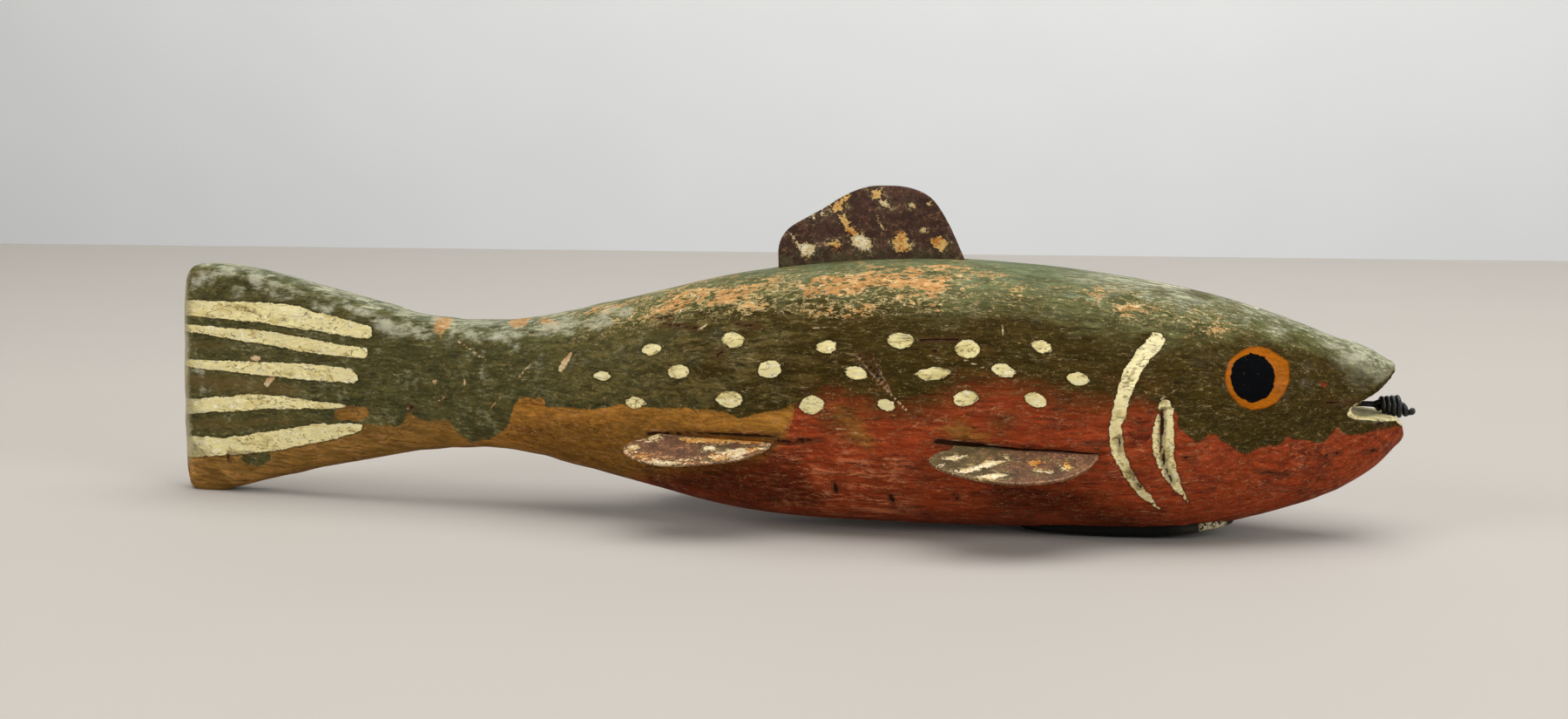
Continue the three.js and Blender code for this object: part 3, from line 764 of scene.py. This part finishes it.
    # The shoulder rubbed through: fine squiggles that widen into orange patches
    rubbed = shade.stored("rubbed")
    patch = (spread + rubbed * 0.05).ramp(0, 0.18)
    shoulder = x.ramp(-98, -92) * x.ramp(36, 30)
    squiggle = abs(curl)
    worn = (rubbed * (patch * 0.1 + 0.026) + speck * 0.05 - squiggle).ramp(-0.012, 0.014)
    bare = shade.mark("bare") + ragged * 2.6 + nibble * 1.6 + spread * shoulder * 10
    bare = bare.ramp(-0.3, 0.3)
    worn = worn.most(bare * (squiggle + shoulder * 0.23 - 0.3 + speck * 0.16).ramp(0.015, -0.015))
    thinned = shade.coats(paints.wood, (patch.most(bare), paints.bare),
                          ((nibble + speck).ramp(0, 0.16) * 0.6, "d0b688"))
    thinned = shade.shaded(thinned, 2 ** (fibre * 1.8 + speck * 2) * (1 - hind * 0.28))

    # Painted highlights: a pale sheen on what faces up; and thin washes
    sheen = shade.mark("sheen") + ragged * 3 + dent * 4 + nibble * 1.6
    sheen = sheen.ramp(-0.4, 1.5) * (speck + dent + fibre * 0.6 + 0.3).ramp(0.1, 0.5)
    wash = (shade.mark("wash") + ragged * 3 + fibre * 2).ramp(-0.6, 1.2)

    # Cream marks, a little dirty and crazed, worn thin at the tail's end
    cream_in = shade.mark("cream") + ragged * 0.9 + nibble * 0.7 - 0.05
    cream_on = cream_in.ramp(-0.07, 0.07)
    cream_on = cream_on * (1 - (x + mottle * 14 + ragged * 10).ramp(-165, -169.5) * 0.6)
    cream_on = cream_on * (1 - x.ramp(-169.8, -170.4) * y.ramp(10.6, 11.6))
    stain_and_shade = (shade.mark("stain_and_shade") + ragged * 0.7 + nibble * 0.5).ramp(-0.2, 0.3)
    crazed = shade.curls(1, 2.6, 0.034, 81) * (brush + speck + nibble).ramp(-0.06, 0.06)
    dirt = (speck + grain * 0.5 + nibble * 0.4 + ragged * 0.4).ramp(0.05, 0.2)
    cream = shade.coats(
        paints.cream, ((brush + ragged).ramp(0, 0.16), "c8b87e"),
        ((nibble + speck * 0.6 - brush * 0.4).ramp(0.06, 0.18) * 0.7, "f6f0d0"),
        # painted highlight on the upper gill
        (x.ramp(-4, -2) * x.ramp(10, 8) * z.ramp(20, 28) * 0.6, "fef2c0"),
        # darker streaks in the gill cuts, stains on the stripes, and painted shade deep in the
        # mouth's corner
        (stain_and_shade * (brush + speck).ramp(-0.1, 0.06) * 0.64,
         shade.mix(x.ramp(30, 33), "86723e", "3c3216")),
        (dirt * 0.5, "96824c"), (crazed * 0.7, "5a4826"))
    # Cream painted darker where it faces up, evening out the overhead light
    cream = shade.shaded(cream, 2 ** (brush * 0.9 + grain * 0.9) * (1 - up.ramp(0.1, 0.7) * 0.2))
    # The tail's end edge painted paler: partly bleached paint, partly painted glare
    edge = (x + ragged * 2 + speck * 2).ramp(-167.9, -169.4) * z.ramp(3, 9)
    edge = edge * (0.66 - (y + ragged * 3).ramp(10.4, 12) * 0.56)

    # Scratches, flakes and cracks
    scratch = shade.mark("scratch") + nibble * 0.4 + speck * 0.3
    scratch = scratch - up.ramp(0.7, 0.85) * (abs(y + ragged * 7 + 0.8) * 0.18 + speck * 1.1)
    scratch = scratch.ramp(-0.1, 0.08)
    # Flecks paler where they face up: partly paler bare wood, partly painted highlight
    fleck = shade.coats("c4966c", ((nibble + ragged).ramp(-0.1, 0.1), "d8c296"),
                        (up.ramp(0.45, 0.7), "eae0c0"))
    rim = (shade.mark("crack") + nibble * 0.7 + 0.35).ramp(-0.3, 0.15)
    crack = (shade.mark("crack") + nibble * 0.3).ramp(-0.1, 0.06)

    # The eye
    ring_on = (shade.mark("ring") + nibble * 0.5).ramp(-0.06, 0.06)
    ring_line = (0.25 - abs(shade.mark("ring") - 0.05)).ramp(0, 0.2)
    pupil_on = (shade.mark("pupil") + nibble * 0.7).ramp(-0.06, 0.06)

    base = shade.coats(
        base, (worn * 0.85, thinned), (sheen * 0.72, "aeac94"), (wash * 0.45, "6a542e"),
        (cream_in.ramp(-0.4, -0.1) * 0.4, "1e160a"), (cream_on, cream), (edge, "b2a886"),
        (scratch * 0.78, fleck), (rim * 0.5, "4a2e1c"), (crack * 0.9, "18100a"),
        (ring_on, shade.shaded(paints.ring, 2 ** (brush * 1.6 + speck * 1.6 + fibre))),
        (ring_line * 0.5, "3c220c"), (pupil_on, paints.pupil),
        (pupil_on * (speck + nibble * 0.6).ramp(0.16, 0.22) * 0.5, "464642"))
    film = cream_on.most(ring_on)
    height = (fibre * (relief.grain / MM) * 2 + grain * 0.05 + speck * 0.12 + brush * 0.1
              + ragged * 0.1 + film * (relief.film / MM) + pale_lines * 0.03 - dark_lines * 0.05
              - crazed * film * 0.04 - crack * 0.3 - worn * 0.05 - scratch * 0.05)
    return shade.close(base, 0.5 + mottle * 0.3 + speck * 0.4 + worn * 0.2, height, {
        "Coat Weight": (speck + dent).ramp(0, 0.2) * 0.1 * (1 - worn) * (1 - pupil_on),
        "Coat Roughness": 0.25, "Specular IOR Level": 0.02})


def painted_sheet(paints):
    shade = Shade("painted_sheet")
    x, z = shade.axis("X"), shade.axis("Z")
    flat = shade.stored("flat")
    shade.wander(3, 0.5)
    ragged = shade.lumps(1.5, 1.3, 5, 0.7, 0, 1.3)
    speck = shade.lumps(0.35, 1.3, 4, 0.72, 3, 1.2)
    patch = shade.lumps(3.2, 1.5, 3, 0.6, 9, 1.2)
    streak = shade.lumps(0.8, 4, 4, 0.75, 27, 1.2)
    pale_edge, ochre_edge = shade.mark("pale"), shade.mark("ochre")
    near = (pale_edge.most(ochre_edge) + ragged * 3).ramp(-1.9, -0.5)
    khaki = (near * (patch + ragged).ramp(-0.1, 0.1) * (flat * 0.35 + 0.3)).most(
        (patch * 0.8 + speck).ramp(0.14, 0.22) * 0.26)
    khaki = khaki.most((x + ragged * 16).ramp(-15, -24) * x.ramp(-50, -46) * flat * 0.7)
    khaki = khaki.most((z + ragged * 12).ramp(48.5, 45.5) * (patch + ragged).ramp(-0.12, 0.04)
                       * (1 - flat) * 0.6)
    # side fins take the paler sheet colour: partly painted light
    sheet = shade.coats(
        paints.rust, (flat, paints.lit_side_sheet),
        ((patch + ragged * 0.5).ramp(-0.06, 0.1) * 0.7, "52362e"),
        ((speck + ragged * 0.6).ramp(0.07, 0.17) * (flat * 0.4 + 0.3), "966844"),
        (khaki, shade.mix(flat, "424226", "544c2c")))
    sheet = shade.shaded(sheet, 2 ** (speck * 3.6 + ragged * 2.8 + ragged * flat * 1.6))

    # Crumbs of paint around the flakes, and the flakes themselves
    close = (pale_edge.most(ochre_edge) + ragged * 2.4).ramp(-0.9, -0.1)
    crumbs = close * (speck + ragged * 0.7).ramp(0.04, 0.1) * (flat * 0.4 + 0.4)
    chipped = ragged * 2.4 + speck * 2.6
    ochre_in = (ochre_edge + chipped).ramp(-0.08, 0.08)
    pale_in = (pale_edge + chipped + flat * 0.16).ramp(-0.08, 0.08)
    pale = shade.coats(
        "eee2be", ((speck * 1.4 + ragged).ramp(-0.1, 0.16), "c6a86c"),
        ((0.2 - pale_edge - chipped).ramp(-0.1, 0.2) * 0.24, "966a38"))

    # Side fins' bright rims, worn and partly painted highlight, and the hind fins' flaked edges
    rim = (0.2 - shade.stored("rim_gap") + speck * 0.6).ramp(-0.1, 0.1) * flat
    flaked = (1.9 - shade.stored("rim_gap") + ragged * 5 + streak * 7).ramp(-0.4, 0.6)
    flaked = flaked * (x.ramp(-50, -56) * flat) * (speck + streak * 0.8).ramp(-0.03, 0.06)
    tan = shade.mix((streak + patch * 0.5).ramp(-0.08, 0.04), "76623c", "b4723c")
    base = shade.coats(
        sheet, (crumbs, shade.mix(patch.ramp(-0.08, 0.08), "c48a4a", "e0cc9c")),
        (ochre_in * 0.9,
         shade.mix((patch + speck * 1.6).ramp(-0.1, 0.1), "ba762e", "deb66e")),
        (pale_in * 0.95, pale), (rim * 0.4, "be966e"),
        (flaked * 0.85, shade.mix((speck * 0.8 + streak * 0.5 + patch * 0.4).ramp(0.03, 0.1), tan,
                                  "e6d8b0")))
    film = ochre_in.most(pale_in)
    return shade.close(base, 0.6 + speck * 0.5 - film * 0.1,
                       film * 0.08 + crumbs * 0.04 + speck * 0.16 + ragged * 0.14,
                       {"Specular IOR Level": 0.15})


def poured_lead(paints):
    shade = Shade("poured_lead")
    x, y = shade.axis("X"), shade.axis("Y")
    lumps = shade.lumps(2.4, 1.6, 4)
    speck = shade.lumps(0.5, shift=5)
    flakes = (lumps * 2 + speck * 2 + 0.12).ramp(-0.02, 0.06) * x.ramp(11.6, 12.2)
    flakes = flakes * x.ramp(16.6, 15.8) * y.ramp(-2, -3)
    # Near-black lead is painted shadow under the belly; its front, which stands in the light, is
    # paler
    base = shade.coats(
        shade.shaded(paints.lead, 2 ** (lumps * 2 + speck * 2)),
        (x.ramp(6, 12), shade.shaded(paint("2c2a21"), 2 ** (speck * 3))),
        (flakes, shade.mix(speck.ramp(-0.1, 0.1), "968868", "c8bc9a")))
    return shade.close(base, 0.6 + speck * 0.4, lumps * 0.3 + speck * 0.1 + flakes * 0.06,
                       {"Specular IOR Level": 0.15})


def black_wire(paints):
    shade = Shade("line_wire")
    speck = shade.lumps(0.35)
    base = shade.mix(speck.ramp(0.12, 0.22) * 0.4, shade.shaded(paints.wire, 2 ** (speck * 4)),
                     "6c5c48")
    return shade.close(base, 0.36 + speck * 0.5, speck * 0.04, {"Specular IOR Level": 0.4})


def plain_stage(name, base):
    shade = Shade(name)
    cloud = shade.lumps(90, 1, 2, 0.5)
    return shade.close(shade.shaded(base, 1 + cloud * 0.06), 0.7, cloud * 0.02, {})


# The pieces

def body_marks(piece):
    """Stores where each painted mark lies, right side as seen, left side a little different."""
    places, normals = surface(piece)
    side = places[:, [0, 2]]
    x, z = side.T
    bent = np.clip((BEND_X - x) / BEND_RUN, 0, None)
    left = places[:, 1] > BEND_SWEEP * bent ** BEND_POWER
    shifted = [(x + 1.4 * math.sin(2.1 * index), z + 0.8 * math.cos(3.7 * index), a, b, -tilt)
               for index, (x, z, a, b, tilt) in enumerate(SPOTS)]
    spots = np.where(left, deepest(dab_depth, side, shifted), deepest(dab_depth, side, SPOTS))
    lip_gap = path_distance(side, LOWER_LIP)
    lip = np.maximum(0.42 - lip_gap, 0.22 - path_distance(side, UPPER_LIP))
    mouth = inside_outline(side, LOWER_LIP + ((46, 18.4), (46, 24)) + UPPER_LIP[::-1])
    mouth = (mouth | (np.abs(places[:, 1]) < 2.6)) & (z < 20.9) | (normals[:, 2] > 0.5) & (z < 23.2)
    mouth &= (x > 33) & (z > 18.9)
    cream = [spots, np.where(mouth, 0.5, lip), deepest(outline_depth, side, STRIPES + GILLS)]
    streaks = deepest(stroke_depth, side, GILL_AND_STRIPE_STREAKS)
    olive = past_line(side, OLIVE_EDGE, 0, 1)
    dabbed = np.maximum(olive, deepest(outline_depth, side, OLIVE_DABS))
    dabbed = np.minimum(dabbed, -deepest(outline_depth, side, GAPS))
    scratches = np.maximum(deepest(slit_depth, side, SCRATCHES),
                           deepest(outline_depth, side, PALE_CHIPS))
    stations, low, high, much = np.array(RUBBED).T
    low, high, much = (np.interp(x, stations, column) for column in (low, high, much))
    rise = np.clip((z - low + 1.6) / 2.6, 0, 1)
    fall = np.clip((high + 1.2 - z) / 2.2, 0, 1)
    stroked = {"under_fin_shade_edge": UNDER_FIN_SHADE, "smear_edge": SMEARS, "wash_edge": WASHES, "sheen_edge": SHEEN}
    right_only = {"bare_edge": deepest(outline_depth, side, BARE_CHIPS), "scratch_edge": scratches,
                  "crack_edge": deepest(slit_depth, side, CRACKS)}
    depths = {
        "up": normals[:, 2],
        "low": np.clip((20 - z) / 10, 0, 1),
        "rubbed": much * rise * fall,
        "cream_edge": np.max(cream, axis=0),
        # in the mouth: painted shade, darker towards the back corner
        "stain_and_shade_edge": np.where(mouth, np.minimum(lip_gap - 0.5, (37.6 - x) * 0.4), streaks),
        "olive_edge": np.where(left, olive, dabbed),
        "red_edge": past_line(side, RED_EDGE, 1, -1),
        "ring_edge": outline_depth(side, EYE_RING),
        "pupil_edge": outline_depth(side, PUPIL),
        **{name: deepest(stroke_depth, side, marks) for name, marks in stroked.items()},
        **{name: np.where(left, NOWHERE, depth) for name, depth in right_only.items()},
    }
    for name, depth in depths.items():
        note(piece, name, depth)


def close_cuts(piece):
    """Draws the saw cuts' walls in towards the fins, and to a fine slit beyond their ends."""
    edge, run_out, wall, reach = 0.8, 4.2, 0.6, 1.8
    places = surface(piece)[0]
    for node in ("dorsal_fin", "pectoral_fin_right", "pectoral_fin_left", "pelvic_fin_right",
                 "pelvic_fin_left"):
        fin = surface(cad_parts[node])[0]
        centre = fin.mean(axis=0)
        long, wide, thick = np.linalg.svd(fin - centre, full_matrices=False)[2]
        long = long * np.sign(long[0])
        u, v, d = ((places - centre) @ way for way in (long, wide, thick))
        fin_u, fin_v = (fin - centre) @ long, (fin - centre) @ wide
        near = (u > fin_u.min() - edge) & (u < fin_u.max() + run_out) & (np.abs(d) < reach)
        near &= (v > fin_v.min() - edge) & (v < fin_v.max() + edge)
        pull = 0.25 + 0.2 * np.clip((u - fin_u.max()) / 0.5, 0, 1)
        inner = d * (1 - pull / wall)
        outer = d - np.sign(d) * pull * np.clip((reach - np.abs(d)) / (reach - wall), 0, 1)
        moved = np.where(np.abs(d) < wall, inner, outer)
        places = places + thick * (np.where(near, moved - d, 0))[:, None]
    move_vertices(piece, places)


def carve_body(relief, paints):
    piece, gaps = fine_skin("body", "carved_body", relief.grid, 26, 2, 1.3 * MM, (60, 12))
    close_cuts(piece)
    body_marks(piece)
    places = surface(piece)[0]
    pulled = places.copy()
    for pull_path, (along, up, reach) in zip(PULL_PATHS, PULLS):
        share = np.exp(-(path_distance(places[:, [0, 2]], pull_path) / reach) ** 2)
        pulled += share[:, None] * (along, 0, up)
    move_vertices(piece, pulled)
    places, normals = surface(piece)
    hollows = rough(places, 11, (1.5, 1, 1)) * 0.6 + rough(places, 5, (2.2, 1, 1), 9) * 0.4
    lines = rough(places, 1.5, (6, 1, 1), 4)
    dimples = rough(places, 4, (1.1, 1, 0.9), 30) * np.clip((-80 - places[:, 0]) / 15, 0, 1)
    free = np.clip((gaps - 0.3) / 1.2, 0, 1) * np.clip(places[:, 2] / 3, 0, 1)
    depth = (0.35 + 0.65 * (hollows + dimples * 1.3)) * relief.hollows / MM + lines * 0.04
    move_vertices(piece, places - normals * (np.clip(depth, 0, None) * free)[:, None])
    finish_piece(piece, "body", painted_wood(paints, relief))


def dress_fin(node, pale, ochre, plane, material):
    """A fin's fine copy, slightly dented, with the places of its paint flakes stored."""
    piece, gaps = fine_skin(node, node + "_sheet", 0.17 * MM, 5, 2, 0.35 * MM)
    places = surface(piece)[0]
    flat = np.abs(places[:, list(plane)]) * (np.sign(places[:, [plane[0]]]) * [1, 0] + [0, 1])
    note(piece, "pale_edge", deepest(outline_depth, flat, pale))
    note(piece, "ochre_edge", deepest(outline_depth, flat, ochre))
    note(piece, "rim_gap", gaps)
    note(piece, "flat", np.full(len(gaps), plane[1] == 1))
    dents = rough(places, 7) * 0.1 + rough(places, 2.5, shift=5) * 0.03
    way = np.array((0, 1, 0) if plane[1] == 2 else (0, 0.3, 0.95))
    move_vertices(piece, places + way * dents[:, None])
    finish_piece(piece, node, material)


class DECOY_OT_body(bpy.types.Operator):
    """Carve and paint the wooden body"""

    bl_idname = "decoy.body"
    bl_label = "Carved Body"

    def execute(self, context):
        carve_body(context.scene.decoy_relief, context.scene.decoy_paints)
        return {"FINISHED"}


class DECOY_OT_fins(bpy.types.Operator):
    """Rust and flake the sheet metal fins"""

    bl_idname = "decoy.fins"
    bl_label = "Sheet Fins"

    def execute(self, context):
        material = painted_sheet(context.scene.decoy_paints)
        dress_fin("dorsal_fin", DORSAL_PALE, DORSAL_OCHRE, (0, 2), material)
        for side in ("right", "left"):
            dress_fin("pectoral_fin_" + side, PECTORAL_PALE, PECTORAL_OCHRE, (0, 1), material)
            dress_fin("pelvic_fin_" + side, PELVIC_PALE, PELVIC_OCHRE, (0, 1), material)
        return {"FINISHED"}


class DECOY_OT_weight(bpy.types.Operator):
    """Give the poured belly weight its uneven skin"""

    bl_idname = "decoy.weight"
    bl_label = "Belly Weight"

    def execute(self, context):
        piece = fine_skin("belly_weight", "poured_weight", 0.4 * MM, 8, 2, 0.8 * MM)[0]
        places, normals = surface(piece)
        lumps = rough(places, 4, (1.5, 1, 1)) * 0.1 * np.clip(places[:, 2] / 0.8, 0, 1)
        move_vertices(piece, places + normals * [1, 1, 0] * 0.22 + normals * lumps[:, None])
        finish_piece(piece, "belly_weight", poured_lead(context.scene.decoy_paints))
        return {"FINISHED"}


class DECOY_OT_wire(bpy.types.Operator):
    """Round off and thicken the wire at the mouth"""

    bl_idname = "decoy.wire"
    bl_label = "Mouth Wire"

    def execute(self, context):
        piece = fine_skin("mouth_wire", "wrapped_wire", 0.1 * MM, 3, 1, 0)[0]
        places, normals = surface(piece)
        coil_start, end_start = 39.5, 43.8
        wound = np.clip((places[:, 0] - coil_start) / 0.6, 0, 1)
        twisted = np.clip((places[:, 0] - end_start) / 0.8, 0, 1)
        swell = wound * 0.25 + twisted * 0.12 - 0.13
        move_vertices(piece, places + normals * swell[:, None])
        finish_piece(piece, "mouth_wire", black_wire(context.scene.decoy_paints))
        return {"FINISHED"}


class DECOY_OT_stage(bpy.types.Operator):
    """Set up the camera, floor, backdrop and soft lights"""

    bl_idname = "decoy.stage"
    bl_label = "Stage"

    def execute(self, context):
        studio = context.scene.decoy_studio
        camera = bpy.data.cameras.new("Camera")
        camera.lens, camera.sensor_width = studio.lens, 36
        camera.clip_start, camera.clip_end = 0.01, 20
        viewer = bpy.data.objects.new("Camera", camera)
        viewer.location = (-7.7 * MM, -333 * MM, 71.1 * MM)
        viewer.rotation_euler = (math.pi / 2 - studio.pitch, 0, studio.azimuth)
        context.collection.objects.link(viewer)
        context.scene.camera = viewer

        upright = Matrix.Rotation(math.pi / 2, 4, "X")
        for name, size, place, turn, paint_name, tint in (
                ("floor", (3, 3), (0, -0.9, 0), Matrix(), "pale_floor", studio.floor),
                ("backdrop", (3.6, 1.8), (0, 1.2, 0.2), upright, "pale_wall", studio.wall)):
            sheet = bmesh.new()
            shape = Matrix.Translation(place) @ turn @ Matrix.Diagonal((*size, 1, 1))
            bmesh.ops.create_grid(sheet, x_segments=1, y_segments=1, size=0.5, matrix=shape)
            mesh = bpy.data.meshes.new(name)
            sheet.to_mesh(mesh)
            sheet.free()
            mesh.materials.append(plain_stage(paint_name, tint))
            new_piece(name, mesh)

        fish, wall = (-0.05, 0, 0.02), (0, 1.2, 0.1)
        for name, power, size, place, target in (
                ("Key", studio.key_power, (1.1, 0.8), (0.05, -0.05, 0.9), fish),
                ("Left", studio.side_power, (0.6, 0.6), (-0.95, -0.65, 0.45), fish),
                ("Right", studio.side_power, (0.6, 0.6), (0.85, -0.65, 0.45), fish),
                ("Backdrop", studio.wall_power, (2.4, 0.3), (0, 0.62, 0.75), wall)):
            light = bpy.data.lights.new(name, "AREA")
            light.shape = "RECTANGLE"
            light.size, light.size_y = size
            light.energy = power
            lamp = bpy.data.objects.new(name, light)
            lamp.location = place
            aim = Vector(target) - Vector(place)
            lamp.rotation_euler = aim.to_track_quat("-Z", "Y").to_euler()
            context.collection.objects.link(lamp)
        world = bpy.data.worlds.new("Fill")
        world.use_nodes = True
        back = world.node_tree.nodes["Background"]
        back.inputs["Color"].default_value = (1, 0.99, 0.97, 1)
        back.inputs["Strength"].default_value = studio.sky
        context.scene.world = world
        context.scene.view_settings.view_transform = "Standard"
        return {"FINISHED"}


class DECOY_PT_panel(bpy.types.Panel):
    """The decoy's steps, colours and sizes"""

    bl_idname = "DECOY_PT_panel"
    bl_label = "Fish Decoy"
    bl_space_type = "VIEW_3D"
    bl_region_type = "UI"
    bl_category = "Decoy"

    def draw(self, context):
        for step in STEPS:
            self.layout.operator(step.bl_idname)
        for name in GROUPS:
            group = getattr(context.scene, name)
            box = self.layout.box()
            for setting in group.__annotations__:
                box.prop(group, setting)


GROUPS = {"decoy_paints": DecoyPaints, "decoy_relief": DecoyRelief, "decoy_studio": DecoyStudio}
STEPS = (DECOY_OT_stage, DECOY_OT_body, DECOY_OT_fins, DECOY_OT_weight, DECOY_OT_wire)
CLASSES = (*GROUPS.values(), *STEPS, DECOY_PT_panel)


def register():
    for item in CLASSES:
        bpy.utils.register_class(item)
    for name, group in GROUPS.items():
        setattr(bpy.types.Scene, name, PointerProperty(type=group))


def unregister():
    for name in GROUPS:
        delattr(bpy.types.Scene, name)
    for item in reversed(CLASSES):
        bpy.utils.unregister_class(item)


def main():
    register()
    bpy.ops.decoy.stage()
    bpy.ops.decoy.body()
    bpy.ops.decoy.fins()
    bpy.ops.decoy.weight()
    bpy.ops.decoy.wire()


if __name__ == "__main__":
    main()
